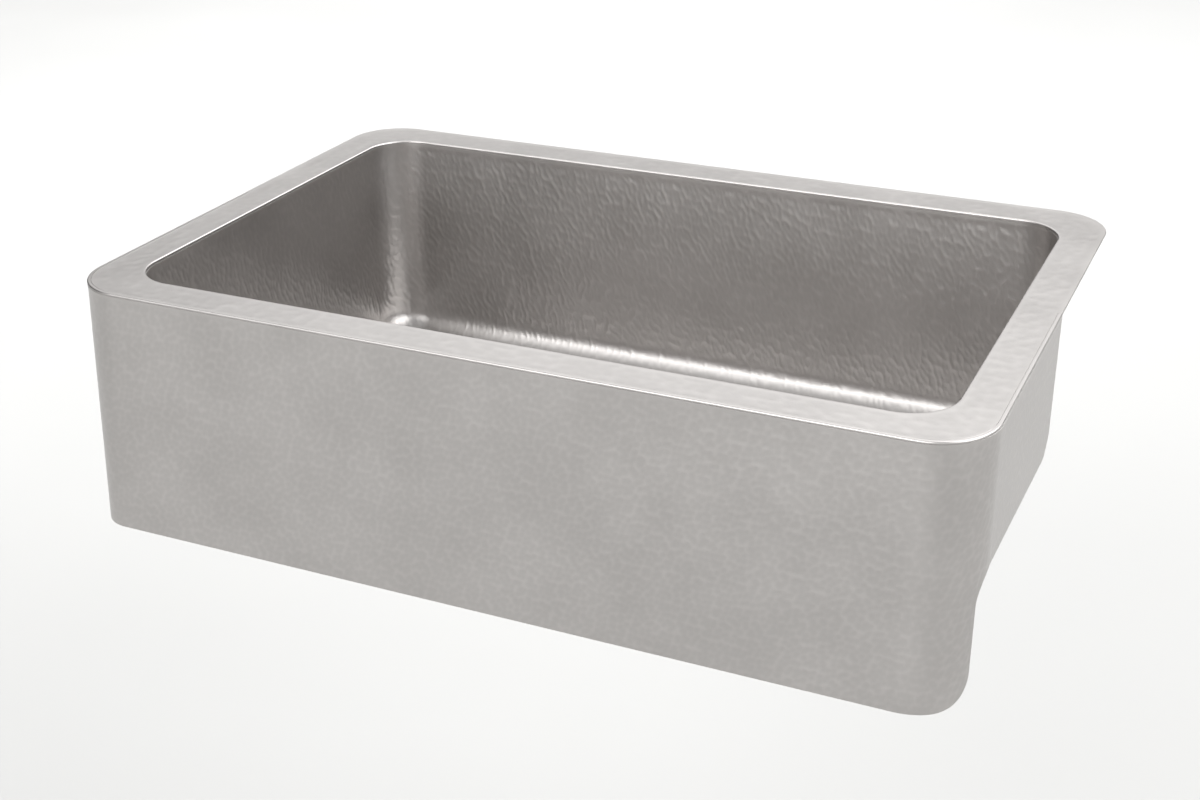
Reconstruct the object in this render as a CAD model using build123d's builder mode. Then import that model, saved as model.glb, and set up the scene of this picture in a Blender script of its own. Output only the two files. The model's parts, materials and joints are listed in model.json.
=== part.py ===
from build123d import *
import os

os.makedirs("parts", exist_ok=True)

# Apron front kitchen sink, in millimetres.
# Origin: middle of the bowl's opening, on the waste hole's axis, level with the rim's top face.
# +X to the right, +Y to the back, +Z up. The apron faces -Y.

# Sheet steel body
sink_length = 838.2  # left to right
sink_width = 558.8  # front to back
apron_height = 241.3  # rim's top to the apron's foot
sheet = 1.6
edge_fold = 2.4  # outside radius where the rim turns down into apron and bowl
outer_corner = 54.5  # corner of the rim and the apron's top, seen from above
foot_corner_left = 34.0  # the apron's corners at its foot: the left one is beaten tighter
foot_corner_right = 54.5
fold_height = 12.0  # height of the apron's top fold

# Rim
rim_side = 39.5
rim_front = 41.5
rim_back = 43.0
rim_lip = 6.0  # height of the rim's turned-down inner edge
apron_seam = 3.4  # width of the apron's folded top edge, where it meets the rim

# Bowl
bowl_corner = 44.0
bowl_depth = 228.6  # rim's top to the floor, at the walls
cove = 25.0  # inside radius between walls and floor
floor_fall = 6.0  # from the walls to the waste
floor_margin = 8.0  # flat strip between the cove and the sloping floor

# Apron's return along each side
return_length = 288.0  # from the apron's front face to the return's back edge
return_height_back = 133.5
return_height_front = 124.0
return_corner = 24.0
wrap_length = 35.0  # short wrap round each corner, below the return
wrap_hollow = 27.5  # inside corner between the return and the wrap
wrap_corner = 30.0  # lower corner of the wrap

# Channels between the apron and the bowl
channel_flange = 20.0
channel_bend = 2.4
brace_spacing = 230.0
brace_top = 40.0  # below the rim's top
brace_height = 150.0
bracket_inset = 70.0  # from the return's back edge to the bracket
bracket_top = 25.0
bracket_height = 80.0
stiffener_leg = 16.0
stiffener_rise = 3.0  # above the apron's foot
stiffener_clearance = 8.0  # from each end to the corner's curve

# Sound-deadening pads
pad_thickness = 4.0
pad_round = 12.0
base_pad_length = 220.0
base_pad_width = 300.0
base_pad_margin = 54.6  # pad's outer edge to the bowl's side wall
wall_pad_top = 60.0
wall_pad_height = 120.0
side_pad_width = 180.0
side_pad_place = 110.0  # pad's middle, behind the waste
back_pad_width = 320.0
front_pad_gap = 15.0  # pad's edge to the channels beside it

# Strainer in the waste hole
waste_hole = 44.5  # radius
strainer_flange = 57.15  # radius
strainer_wall = 1.3
strainer_cup = 42.6  # outside radius
strainer_roll = 4.7  # radius from the flange into the cup
strainer_floor = 2.0
recess_gap = 0.8  # strainer's flange to the recess pressed in the floor
recess_depth = 3.4
recess_apron = 6.0  # flat floor round the recess
neck_bore = 19.0
neck_wall = 4.5
neck_length = 16.0
spider_bar = 3.0
spider_height = 3.0
spider_drop = 5.0  # strainer's floor to the top of the cross bars
spider_hub = 7.0
spider_play = 0.6  # radial, hub's hole to the stopper's stem
seal_thickness = 1.6
seal_width = 10.0
under_washer_thickness = 3.0
friction_washer_thickness = 0.8
lock_nut_rim = 54.0
lock_nut_height = 9.0
lock_nut_lug = 5.0
lock_nut_lugs = 6
thread_gap = 0.1  # radial, each nut to the thread it runs on
washer_gap = 0.4  # radial, each washer to the cup

# Outlet below the strainer
tail_radius = 19.05
tail_wall = 1.0
tail_length = 102.0
tail_relief = 0.6  # the tube is rolled this much narrower where the coupling nut turns on it
tail_relief_margin = 1.0  # relief that shows below the nut
tail_flange = 22.4
tail_flange_thickness = 1.2
tail_washer_thickness = 2.4
coupling_rim = 28.5
coupling_cover = 12.0  # height of the nut up the neck
coupling_floor = 2.5
coupling_lug = 3.0
coupling_lugs = 8
coupling_gap = 0.3  # radial, nut's floor to the tailpiece

# Basket
basket_sheet = 0.8
basket_radius = 40.0
basket_rim = 49.0
basket_depth = 30.0
basket_bend = 6.0
basket_rest = 0.2  # below the basket's rim, above the strainer's flange
hole_radius = 2.1
floor_hole_rings = ((15.0, 8), (22.5, 14), (30.0, 20))  # ring radius and number of holes
wall_holes = 24
wall_hole_rows = (8.0, 15.0, 22.0)  # below the basket's rim
collar_barrel = 5.0
collar_flange = 8.0
collar_flange_thickness = 1.6
collar_height = 9.0

# Stopper
stem_radius = 3.0
stem_play = 0.08  # radial, in the collar
stopper_travel = 9.0
travel_end_gap = 0.3  # nut to collar when the stopper is fully up
stem_tip = 14.0  # stem below the rubber seal
nut_flats = 12.0
nut_height = 4.0
backing_radius = 18.0
backing_thickness = 1.2
seal_radius = 25.0
rubber_thickness = 4.0
plug_radius = 17.8
plug_depth = 2.5
seat_gap = 0.2  # rubber seal above the strainer's floor
knob_radius = 11.0
knob_height = 9.0
knob_drop = 3.6  # knob's top below the bowl's floor at the walls
knob_socket = 6.0
knob_round = 2.5
press_gap = 0.02

# Places worked out from the sizes
opening_length = sink_length - 2 * rim_side
opening_width = sink_width - rim_front - rim_back
front_y = -opening_width / 2 - rim_front
back_y = opening_width / 2 + rim_back
rim_middle_y = (front_y + back_y) / 2
return_end_y = front_y + return_length
wall_x = opening_length / 2 + sheet  # outer face of the bowl's side wall
wall_y = opening_width / 2 + sheet  # outer face of the bowl's front and back walls

floor_edge_z = -bowl_depth
floor_low_z = floor_edge_z - floor_fall
recess_radius = strainer_flange + recess_gap
recess_z = floor_low_z - recess_depth
underside_z = recess_z - sheet

flange_z = recess_z + seal_thickness + strainer_wall
basket_z = flange_z + basket_rest
basket_floor_z = basket_z - basket_depth
collar_foot_z = basket_floor_z - collar_flange_thickness
nut_top_z = collar_foot_z - travel_end_gap - stopper_travel
backing_z = nut_top_z - nut_height
rubber_top_z = backing_z - backing_thickness
rubber_foot_z = rubber_top_z - rubber_thickness
cup_floor_z = rubber_foot_z - seat_gap
neck_top_z = cup_floor_z - strainer_floor
neck_foot_z = neck_top_z - neck_length
tail_flange_z = neck_foot_z - tail_washer_thickness
tail_z = tail_flange_z - tail_flange_thickness
knob_top_z = floor_edge_z - knob_drop
washer_z = underside_z - under_washer_thickness
lock_nut_z = washer_z - friction_washer_thickness


def outline(inset):
    """Plan of the rim's outer edge, drawn in by inset, for use inside a sketch."""
    with Locations((0, rim_middle_y)):
        RectangleRounded(sink_length - 2 * inset, sink_width - 2 * inset, outer_corner - inset)


def apron_plan(level_z, left_corner, right_corner):
    """Section of the apron's sheet at one level, open to the back."""
    with BuildSketch(Plane.XY.offset(level_z)) as plan:
        with BuildLine():
            for inset in (0, sheet):
                side_x = sink_length / 2 - inset
                FilletPolyline(
                    (-side_x, return_end_y),
                    (-side_x, front_y + inset),
                    (side_x, front_y + inset),
                    (side_x, return_end_y),
                    radius=(left_corner - inset, right_corner - inset),
                )
            Line((-sink_length / 2, return_end_y), (-sink_length / 2 + sheet, return_end_y))
            Line((sink_length / 2, return_end_y), (sink_length / 2 - sheet, return_end_y))
        make_face()
    return plan.sketch


def opening(grow, mode=Mode.ADD):
    """Plan of the bowl's inner wall, grown outwards, for use inside a sketch."""
    RectangleRounded(opening_length + 2 * grow, opening_width + 2 * grow, bowl_corner + grow, mode=mode)


def bowl_block(grow, top_z):
    """The space in the bowl as a solid from top_z down, grown by a sheet's thickness."""
    with BuildPart() as block:
        with BuildSketch(Plane.XY.offset(top_z)):
            opening(grow)
        extrude(amount=floor_edge_z - grow - top_z)
        fillet(block.faces().sort_by(Axis.Z)[0].edges(), cove + grow)
        # Four flat slopes run down from the cove to the level floor round the waste
        with BuildSketch(Plane.XY.offset(floor_edge_z - grow)):
            margin = cove + floor_margin
            Rectangle(opening_length - 2 * margin, opening_width - 2 * margin)
        with BuildSketch(Plane.XY.offset(floor_low_z - grow)):
            side = 2 * (recess_radius + recess_apron)
            Rectangle(side, side)
        loft(ruled=True)
        with BuildSketch(Plane.XY.offset(floor_low_z - grow)):
            Circle(recess_radius + grow)
        extrude(amount=-recess_depth)
    return block.part


def channel(base, gap, length):
    """A folded channel: its flanges lie along the base plane's x, its web spans gap along y."""
    with BuildPart() as folded:
        with BuildSketch(base) as section:
            Rectangle(channel_flange, gap, align=(Align.MIN, Align.CENTER))
            fillet(section.vertices().group_by(Axis.X)[0], channel_bend)
            with Locations((sheet, 0)):
                inner_gap = gap - 2 * sheet
                Rectangle(channel_flange, inner_gap, align=(Align.MIN, Align.CENTER), mode=Mode.SUBTRACT)
            hollow_corners = [v for v in section.vertices() if abs(v.X - sheet) < sheet / 10]
            fillet(hollow_corners, channel_bend - sheet)
        extrude(amount=length)
    return folded.part


# Bowl: walls, cove and floor, with the recess and hole for the strainer
bowl_outside = bowl_block(sheet, -rim_lip)
bowl_inside = bowl_block(0, 0)
with BuildPart() as bowl:
    add(bowl_outside)
    add(bowl_inside, mode=Mode.SUBTRACT)
    with BuildSketch(Plane.XY.offset(recess_z)):
        Circle(waste_hole)
    extrude(amount=-2 * sheet, mode=Mode.SUBTRACT)
bowl.part.label = "bowl"
export_step(bowl.part, "parts/bowl.step")

# Rim: flat deck with its inner edge turned down to meet the bowl's wall
with BuildPart() as rim:
    with BuildSketch():
        opening(sheet)
        opening(0, mode=Mode.SUBTRACT)
    extrude(amount=-rim_lip)
    with BuildSketch():
        outline(0)
        opening(0, mode=Mode.SUBTRACT)
    extrude(amount=-sheet)
    level_faces = rim.faces().filter_by(Axis.Z).sort_by(Axis.Z)
    fillet(level_faces[-1].inner_wires()[0].edges(), edge_fold)
    level_faces = rim.faces().filter_by(Axis.Z).sort_by(Axis.Z)
    fillet(level_faces[1].inner_wires()[0].edges(), edge_fold - sheet)
    # The apron's folded top edge takes this strip round the front and along the returns
    with BuildSketch() as seam:
        outline(0)
        with Locations((0, rim_middle_y)):
            seam_length = sink_length - 2 * apron_seam
            seam_width = sink_width - 2 * apron_seam
            RectangleRounded(seam_length, seam_width, outer_corner - apron_seam, mode=Mode.SUBTRACT)
        with Locations((0, return_end_y)):
            Rectangle(sink_length, sink_width, align=(Align.CENTER, Align.MIN), mode=Mode.SUBTRACT)
    extrude(amount=-sheet, mode=Mode.SUBTRACT)
rim.part.label = "rim"
export_step(rim.part, "parts/rim.step")

# Apron: one sheet folded at the top, carried round both front corners and back along the sides.
# Below the fold, each corner's radius runs evenly to its radius at the foot.
plan_below_fold = apron_plan(-fold_height, outer_corner, outer_corner)
plan_at_foot = apron_plan(-apron_height, foot_corner_left, foot_corner_right)
with BuildPart() as apron:
    with BuildLine() as apron_path:
        FilletPolyline(
            (-sink_length / 2, return_end_y),
            (-sink_length / 2, front_y),
            (sink_length / 2, front_y),
            (sink_length / 2, return_end_y),
            radius=outer_corner,
        )
    # Section of the sheet: x runs inwards from the outer face, y upwards
    section_plane = Plane(origin=(-sink_length / 2, return_end_y, 0), x_dir=(1, 0, 0), z_dir=(0, -1, 0))
    with BuildSketch(section_plane) as apron_section:
        with BuildLine():
            FilletPolyline((0, -fold_height), (0, 0), (apron_seam, 0), radius=edge_fold)
            Line((apron_seam, 0), (apron_seam, -sheet))
            FilletPolyline(
                (apron_seam, -sheet),
                (sheet, -sheet),
                (sheet, -fold_height),
                radius=edge_fold - sheet,
            )
            Line((sheet, -fold_height), (0, -fold_height))
        make_face()
    sweep(path=apron_path.wires()[0])
    loft(sections=[plan_below_fold, plan_at_foot], ruled=True)
    # Side view of the sheet that stays: the long return above, the short wrap below
    with BuildSketch(Plane.YZ) as side_view:
        with BuildLine():
            FilletPolyline(
                (front_y - sheet, sheet),
                (return_end_y, sheet),
                (return_end_y, -return_height_back),
                (front_y + wrap_length, -return_height_front),
                (front_y + wrap_length, -apron_height),
                (front_y - sheet, -apron_height),
                radius=(0, return_corner, wrap_hollow, wrap_corner),
            )
            Line((front_y - sheet, -apron_height), (front_y - sheet, sheet))
        make_face()
    extrude(amount=sink_length / 2, both=True, mode=Mode.INTERSECT)
apron.part.label = "apron"
export_step(apron.part, "parts/apron.step")

# Folded angle inside the apron's foot
stiffener_length = sink_length - 2 * (outer_corner + stiffener_clearance)
with BuildPart() as apron_stiffener:
    angle_plane = Plane.YZ.offset(-stiffener_length / 2)
    with BuildSketch(angle_plane):
        with Locations((front_y + sheet, stiffener_rise - apron_height)):
            Rectangle(stiffener_leg, stiffener_leg, align=Align.MIN)
        with Locations((front_y + 2 * sheet, stiffener_rise - apron_height + sheet)):
            Rectangle(stiffener_leg, stiffener_leg, align=Align.MIN, mode=Mode.SUBTRACT)
    extrude(amount=stiffener_length)
    heel = apron_stiffener.edges().filter_by(Axis.X).group_by(Axis.Z)[0].sort_by(Axis.Y)[0]
    fillet(heel, channel_bend)
apron_stiffener.part.label = "apron_stiffener"
export_step(apron_stiffener.part, "parts/apron_stiffener.step")

# Channels from the apron's back to the bowl's front wall
brace_gap = rim_front - 2 * sheet
brace_y = front_y + sheet + brace_gap / 2
brace_places = {"left": -brace_spacing, "middle": 0, "right": brace_spacing}
for side, place in brace_places.items():
    brace_plane = Plane(origin=(place, brace_y, -brace_top), x_dir=(1, 0, 0), z_dir=(0, 0, -1))
    brace = channel(brace_plane, brace_gap, brace_height)
    brace.label = f"apron_brace_{side}"
    export_step(brace, f"parts/apron_brace_{side}.step")

# Channels from the side returns to the bowl's side walls
bracket_gap = rim_side - 2 * sheet
bracket_x = sink_length / 2 - sheet - bracket_gap / 2
for side, sign in {"left": -1, "right": 1}.items():
    bracket_place = (sign * bracket_x, return_end_y - bracket_inset, -bracket_top)
    bracket_plane = Plane(origin=bracket_place, x_dir=(0, 1, 0), z_dir=(0, 0, -1))
    bracket = channel(bracket_plane, bracket_gap, bracket_height)
    bracket.label = f"return_bracket_{side}"
    export_step(bracket, f"parts/return_bracket_{side}.step")

# Pads under the floor: they follow its slope
pad_reach = floor_fall + recess_depth + sheet + pad_thickness
pad_outside = bowl_block(sheet + pad_thickness, floor_edge_z / 2)
base_pad_place = (opening_length - base_pad_length) / 2 - base_pad_margin
for side, sign in {"left": -1, "right": 1}.items():
    with BuildPart() as base_pad:
        add(pad_outside)
        with BuildSketch(Plane.XY.offset(floor_edge_z)):
            with Locations((sign * base_pad_place, 0)):
                RectangleRounded(base_pad_length, base_pad_width, pad_round)
        extrude(amount=-pad_reach, mode=Mode.INTERSECT)
        add(bowl_outside, mode=Mode.SUBTRACT)
    base_pad.part.label = f"base_pad_{side}"
    export_step(base_pad.part, f"parts/base_pad_{side}.step")

# Pads on the walls: each base plane lies on a wall, facing out, with its y upwards
wall_pad_z = -wall_pad_top - wall_pad_height / 2
front_pad_width = brace_spacing - channel_flange - 2 * front_pad_gap
front_pad_x = (brace_spacing + channel_flange) / 2
wall_pads = {
    "side_pad_left": ((-wall_x, side_pad_place), (-1, 0), side_pad_width),
    "side_pad_right": ((wall_x, side_pad_place), (1, 0), side_pad_width),
    "back_pad": ((0, wall_y), (0, 1), back_pad_width),
    "front_pad_left": ((front_pad_x - brace_spacing, -wall_y), (0, -1), front_pad_width),
    "front_pad_right": ((front_pad_x, -wall_y), (0, -1), front_pad_width),
}
for name, (place, facing, width) in wall_pads.items():
    pad_plane = Plane(
        origin=(*place, wall_pad_z),
        x_dir=(-facing[1], facing[0], 0),
        z_dir=(*facing, 0),
    )
    with BuildPart() as wall_pad:
        with BuildSketch(pad_plane):
            RectangleRounded(width, wall_pad_height, pad_round)
        extrude(amount=pad_thickness)
    wall_pad.part.label = name
    export_step(wall_pad.part, f"parts/{name}.step")

# Strainer body: flange in the recess, cup through the hole, neck at the foot
cup_bore = strainer_cup - strainer_wall
neck_radius = neck_bore + neck_wall
with BuildPart() as strainer_body:
    with BuildSketch(Plane.XZ):
        with BuildLine():
            FilletPolyline(
                (strainer_flange, flange_z),
                (cup_bore, flange_z),
                (cup_bore, cup_floor_z),
                (neck_bore, cup_floor_z),
                (neck_bore, neck_foot_z),
                radius=(strainer_roll, strainer_wall, 0),
            )
            Line((neck_bore, neck_foot_z), (neck_radius, neck_foot_z))
            FilletPolyline(
                (neck_radius, neck_foot_z),
                (neck_radius, neck_top_z),
                (strainer_cup, neck_top_z),
                (strainer_cup, flange_z - strainer_wall),
                (strainer_flange, flange_z - strainer_wall),
                radius=(0, 2 * strainer_wall, strainer_roll - strainer_wall),
            )
            Line((strainer_flange, flange_z - strainer_wall), (strainer_flange, flange_z))
        make_face()
    revolve(axis=Axis.Z)
strainer_body.part.label = "strainer_body"
export_step(strainer_body.part, "parts/strainer_body.step")

# Cross bars set in the neck's bore, with a hub that guides the stopper's stem
with BuildPart() as strainer_cross:
    with BuildSketch(Plane.XY.offset(cup_floor_z - spider_drop)):
        Rectangle(2 * neck_bore, spider_bar)
        Rectangle(spider_bar, 2 * neck_bore)
        Circle(neck_bore, mode=Mode.INTERSECT)
        Circle(spider_hub)
        Circle(stem_radius + spider_play, mode=Mode.SUBTRACT)
    extrude(amount=-spider_height)
strainer_cross.part.label = "strainer_cross"
export_step(strainer_cross.part, "parts/strainer_cross.step")


def ring(name, outer, inner, top_z, thickness):
    """A flat ring on the waste's axis, written under its name."""
    with BuildPart() as flat_ring:
        with BuildSketch(Plane.XY.offset(top_z)):
            Circle(outer)
            Circle(inner, mode=Mode.SUBTRACT)
        extrude(amount=-thickness)
    flat_ring.part.label = name
    export_step(flat_ring.part, f"parts/{name}.step")


flange_seal_inner = strainer_flange - recess_gap - seal_width
washer_inner = strainer_cup + washer_gap
ring("flange_seal", strainer_flange - recess_gap, flange_seal_inner, flange_z - strainer_wall, seal_thickness)
ring("under_washer", lock_nut_rim, washer_inner, underside_z, under_washer_thickness)
ring("friction_washer", lock_nut_rim, washer_inner, washer_z, friction_washer_thickness)
ring("tailpiece_washer", tail_flange, tail_radius - tail_wall, neck_foot_z, tail_washer_thickness)

# Lock nut, with lugs to turn it by
with BuildPart() as lock_nut:
    with BuildSketch(Plane.XY.offset(lock_nut_z)):
        Circle(lock_nut_rim)
        with PolarLocations(lock_nut_rim, lock_nut_lugs):
            RectangleRounded(2 * lock_nut_lug, 2 * lock_nut_lug, lock_nut_lug / 4)
        Circle(strainer_cup + thread_gap, mode=Mode.SUBTRACT)
    extrude(amount=-lock_nut_height)
lock_nut.part.label = "lock_nut"
export_step(lock_nut.part, "parts/lock_nut.step")

# Tailpiece: tube with a flange that hangs in the coupling nut
with BuildPart() as tailpiece:
    relief_length = coupling_floor + tail_relief_margin
    with BuildSketch(Plane.XY.offset(tail_flange_z)):
        Circle(tail_flange)
    extrude(amount=-tail_flange_thickness)
    with BuildSketch(Plane.XY.offset(tail_z)):
        Circle(tail_radius - tail_relief)
    extrude(amount=-relief_length)
    with BuildSketch(Plane.XY.offset(tail_flange_z)):
        Circle(tail_radius - tail_relief - tail_wall)
    extrude(amount=-tail_flange_thickness - relief_length, mode=Mode.SUBTRACT)
    with BuildSketch(Plane.XY.offset(tail_z - tail_length)):
        Circle(tail_radius)
        Circle(tail_radius - tail_wall, mode=Mode.SUBTRACT)
    extrude(amount=tail_length - relief_length)
tailpiece.part.label = "tailpiece"
export_step(tailpiece.part, "parts/tailpiece.step")

# Coupling nut: threaded on the neck, its floor under the tailpiece's flange
with BuildPart() as coupling_nut:
    coupling_top_z = neck_foot_z + coupling_cover
    coupling_depth = coupling_top_z - tail_z
    with BuildSketch(Plane.XY.offset(coupling_top_z)):
        Circle(coupling_rim)
        with PolarLocations(coupling_rim, coupling_lugs):
            RectangleRounded(2 * coupling_lug, 2 * coupling_lug, coupling_lug / 3)
    extrude(amount=-coupling_depth - coupling_floor)
    with BuildSketch(Plane.XY.offset(coupling_top_z)):
        Circle(neck_radius + thread_gap)
    extrude(amount=-coupling_depth, mode=Mode.SUBTRACT)
    with BuildSketch(Plane.XY.offset(tail_z)):
        Circle(tail_radius + coupling_gap)
    extrude(amount=-coupling_floor, mode=Mode.SUBTRACT)
coupling_nut.part.label = "coupling_nut"
export_step(coupling_nut.part, "parts/coupling_nut.step")

# Basket: pressed cup with a flat rim, holed in its floor and wall
basket_bore = basket_radius - basket_sheet
with BuildPart() as basket_cup:
    with BuildSketch(Plane.XZ):
        with BuildLine():
            FilletPolyline(
                (collar_barrel, basket_floor_z),
                (basket_radius, basket_floor_z),
                (basket_radius, basket_z),
                (basket_rim, basket_z),
                radius=(basket_bend, 0),
            )
            Line((basket_rim, basket_z), (basket_rim, basket_z + basket_sheet))
            FilletPolyline(
                (basket_rim, basket_z + basket_sheet),
                (basket_bore, basket_z + basket_sheet),
                (basket_bore, basket_floor_z + basket_sheet),
                (collar_barrel, basket_floor_z + basket_sheet),
                radius=(basket_sheet, basket_bend - basket_sheet),
            )
            Line((collar_barrel, basket_floor_z + basket_sheet), (collar_barrel, basket_floor_z))
        make_face()
    revolve(axis=Axis.Z)
    with BuildSketch(Plane.XY.offset(basket_floor_z)):
        for ring_radius, count in floor_hole_rings:
            with PolarLocations(ring_radius, count):
                Circle(hole_radius)
    extrude(amount=basket_sheet, mode=Mode.SUBTRACT)
    for row in wall_hole_rows:
        with Locations((0, 0, basket_z - row)):
            with PolarLocations(basket_radius, wall_holes):
                Cylinder(hole_radius, 4 * basket_sheet, rotation=(0, 90, 0), mode=Mode.SUBTRACT)
basket_cup.part.label = "basket_cup"
export_step(basket_cup.part, "parts/basket_cup.step")

# Collar fixed in the basket's floor, which guides the stopper's stem
with BuildPart() as basket_collar:
    with BuildSketch(Plane.XZ):
        with BuildLine():
            Polyline(
                (stem_radius + stem_play, collar_foot_z),
                (collar_flange, collar_foot_z),
                (collar_flange, basket_floor_z),
                (collar_barrel, basket_floor_z),
                (collar_barrel, basket_floor_z + basket_sheet),
                (collar_flange, basket_floor_z + basket_sheet),
                (collar_flange, basket_floor_z + basket_sheet + collar_flange_thickness),
                (collar_barrel, basket_floor_z + basket_sheet + collar_flange_thickness),
                (collar_barrel, basket_floor_z + collar_height),
                (stem_radius + stem_play, basket_floor_z + collar_height),
                close=True,
            )
        make_face()
    revolve(axis=Axis.Z)
basket_collar.part.label = "basket_collar"
export_step(basket_collar.part, "parts/basket_collar.step")

# Stopper: stem, knob, rubber seal and the nut that holds the seal
with BuildPart() as stopper_stem:
    stem_top_z = knob_top_z - knob_height + knob_socket
    with BuildSketch(Plane.XY.offset(stem_top_z)):
        Circle(stem_radius)
    extrude(amount=rubber_foot_z - stem_tip - stem_top_z)
    chamfer(stopper_stem.edges().sort_by(Axis.Z)[0], stem_radius / 4)
stopper_stem.part.label = "stopper_stem"
export_step(stopper_stem.part, "parts/stopper_stem.step")

with BuildPart() as stopper_knob:
    with BuildSketch(Plane.XZ):
        with BuildLine():
            FilletPolyline(
                (0, knob_top_z),
                (knob_radius, knob_top_z),
                (knob_radius, knob_top_z - knob_height / 2),
                (knob_radius / 2, knob_top_z - knob_height),
                (0, knob_top_z - knob_height),
                radius=(knob_round, knob_round, 0),
            )
            Line((0, knob_top_z - knob_height), (0, knob_top_z))
        make_face()
    revolve(axis=Axis.Z)
    with BuildSketch(Plane.XY.offset(knob_top_z - knob_height)):
        Circle(stem_radius + press_gap)
    extrude(amount=knob_socket, mode=Mode.SUBTRACT)
stopper_knob.part.label = "stopper_knob"
export_step(stopper_knob.part, "parts/stopper_knob.step")

with BuildPart() as stopper_seal:
    with BuildSketch(Plane.XZ):
        with BuildLine():
            FilletPolyline(
                (stem_radius + press_gap, rubber_top_z),
                (seal_radius, rubber_top_z),
                (seal_radius, rubber_foot_z),
                (plug_radius, rubber_foot_z),
                (plug_radius - plug_depth, rubber_foot_z - plug_depth),
                (stem_radius + press_gap, rubber_foot_z - plug_depth),
                radius=(rubber_thickness / 3, 0, 0, 0),
            )
            Line(
                (stem_radius + press_gap, rubber_foot_z - plug_depth),
                (stem_radius + press_gap, rubber_top_z),
            )
        make_face()
    revolve(axis=Axis.Z)
stopper_seal.part.label = "stopper_seal"
export_step(stopper_seal.part, "parts/stopper_seal.step")

with BuildPart() as stopper_nut:
    with BuildSketch(Plane.XY.offset(rubber_top_z)):
        Circle(backing_radius)
    extrude(amount=backing_thickness)
    with BuildSketch(Plane.XY.offset(backing_z)):
        RegularPolygon(nut_flats / 2, 6, major_radius=False)
    extrude(amount=nut_height)
    with BuildSketch(Plane.XY.offset(rubber_top_z)):
        Circle(stem_radius + press_gap)
    extrude(amount=backing_thickness + nut_height, mode=Mode.SUBTRACT)
stopper_nut.part.label = "stopper_nut"
export_step(stopper_nut.part, "parts/stopper_nut.step")
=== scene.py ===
import json
import bpy
import numpy as np
from mathutils import Matrix


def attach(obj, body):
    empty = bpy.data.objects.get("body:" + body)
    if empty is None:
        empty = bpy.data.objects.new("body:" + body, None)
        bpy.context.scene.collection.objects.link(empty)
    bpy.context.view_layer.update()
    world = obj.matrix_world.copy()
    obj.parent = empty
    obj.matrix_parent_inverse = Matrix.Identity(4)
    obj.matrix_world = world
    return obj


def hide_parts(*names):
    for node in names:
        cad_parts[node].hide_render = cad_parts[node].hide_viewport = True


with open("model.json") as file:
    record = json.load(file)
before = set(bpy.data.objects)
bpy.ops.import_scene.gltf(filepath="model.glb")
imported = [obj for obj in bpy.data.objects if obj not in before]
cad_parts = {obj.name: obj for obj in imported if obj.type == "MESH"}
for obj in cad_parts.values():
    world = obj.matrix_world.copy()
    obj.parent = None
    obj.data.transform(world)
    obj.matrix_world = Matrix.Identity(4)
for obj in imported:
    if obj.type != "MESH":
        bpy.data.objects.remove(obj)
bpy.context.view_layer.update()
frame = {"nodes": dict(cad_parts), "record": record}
nodes = frame["nodes"]
print("frame:", len(nodes), "nodes")

# Metres, +Z up. The origin is the middle of the bowl's opening, level with the rim's top.
sinkValues = {
    "length": 0.8382,            # rim, left to right
    "width": 0.5588,             # rim, front to back
    "middleY": 0.00075,          # the front rim is a little narrower than the back one
    "corner": 0.0545,            # rim's outer corners
    "openingLength": 0.7592,
    "openingWidth": 0.4743,
    "openingCorner": 0.044,
    "sheet": 0.0016,
    "fold": 0.0013,              # outside radius of each folded edge
    "insideFold": 0.0002,        # its inside radius
    "lip": 0.006,                # the rim's turned-down inner edge
    "apronStrip": 0.0034,        # the apron's folded top edge that meets the rim
    "grooveDeep": 0.0004,        # fine groove that runs under each fold
    "grooveTall": 0.0006,        # height of its flat bottom
    "grooveSlope": 0.0002,       # height of its slanted upper and lower sides
}
frontY = sinkValues["middleY"] - sinkValues["width"] / 2

# Random nets, each drawn from a seed of its own
netValues = {
    "cells": 512,                # along each side of a net that doesn't repeat
    "jitter": 0.8,               # share of its cell in which a hammer blow may fall
    "sharpness": 9,              # of the ridges between the blows
    "ridge": 0.5,                # squared distance from the blows, in cells, of a high ridge
}


def smoothStep(x, low, high):
    # 0 below low and 1 above high, with 3t^2 - 2t^3 between them
    t = np.clip((x - low) / (high - low), 0, 1)
    return t * t * (3 - 2 * t)


def softLesser(a, b, width):
    # the lesser of a and b with its crease rounded: half of a + b - sqrt((a - b)^2 + width^2)
    return (a + b - np.sqrt((a - b) ** 2 + width ** 2)) / 2


def softWaves(u, v, cell, seed, around=None):
    # random heights from 0 to 1 on a square net, joined along both ways by 3t^2 - 2t^3.
    # around is the length along u after which the net repeats.
    cells = netValues["cells"]
    count = cells if around is None else round(around / cell)
    heights = np.random.default_rng(seed).random((count, cells))
    u, v = u / (cell if around is None else around / count), v / cell
    iu, iv = np.floor(u).astype(int), np.floor(v).astype(int)
    tu, tv = smoothStep(u - iu, 0, 1), smoothStep(v - iv, 0, 1)

    def heightAt(stepU, stepV):
        return heights[(iu + stepU) % count, (iv + stepV) % cells]

    low = heightAt(0, 0) * (1 - tu) + heightAt(1, 0) * tu
    high = heightAt(0, 1) * (1 - tu) + heightAt(1, 1) * tu
    return low * (1 - tv) + high * tv


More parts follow.
